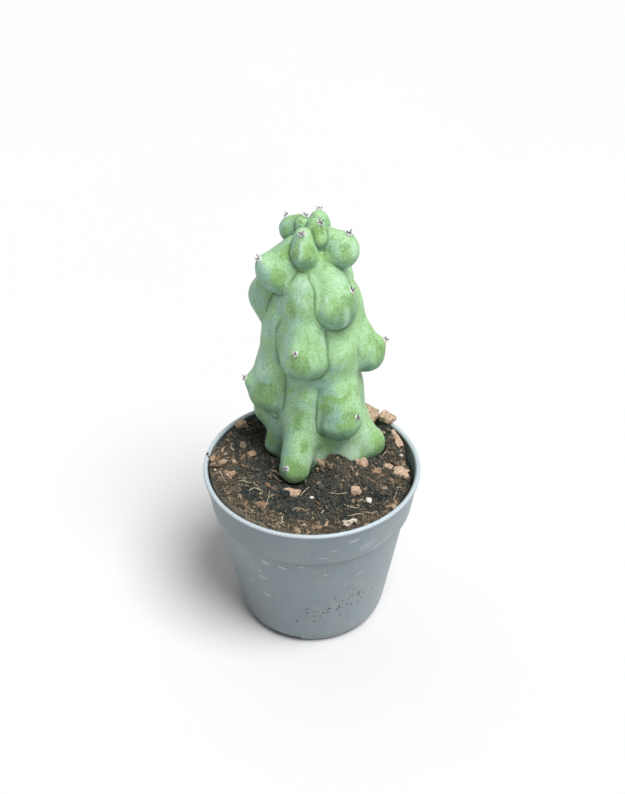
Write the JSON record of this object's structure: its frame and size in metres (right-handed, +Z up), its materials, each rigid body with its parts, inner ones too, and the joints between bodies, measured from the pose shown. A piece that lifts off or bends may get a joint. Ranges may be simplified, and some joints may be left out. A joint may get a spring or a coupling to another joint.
{
  "type": "potted cactus",
  "caption": "Lumpy columnar cactus with drooping blue-green lobes, felt pads and tiny spines, standing in a filled round tapered plastic nursery pot.",
  "frame": {"origin": "on the pot's axis, at the level of the pot's feet", "axes": "+Z up along the pot's axis, -Y toward the front, +X to the right seen from the front"},
  "size_m": [0.12, 0.12, 0.2431],
  "materials": {
    "pot": "satin",
    "compost": "matte",
    "cactus_skin": "satin",
    "bark": "matte",
    "chip_cream": "matte",
    "grain": "matte"
  },
  "bodies": {
    "root": {"pot": "pot", "compost": "compost", "cactus": "cactus_skin", "bark_01": "bark", "bark_02": "bark", "bark_03": "bark", "bark_04": "bark", "bark_05": "bark", "bark_06": "bark", "bark_07": "chip_cream", "bark_08": "bark", "bark_09": "bark", "bark_10": "bark", "bark_11": "bark", "bark_12": "bark", "bark_13": "bark", "bark_14": "bark", "bark_15": "bark", "bark_16": "bark", "grain_01": "grain", "grain_02": "grain", "grain_03": "grain"}
  },
  "joints": []
}
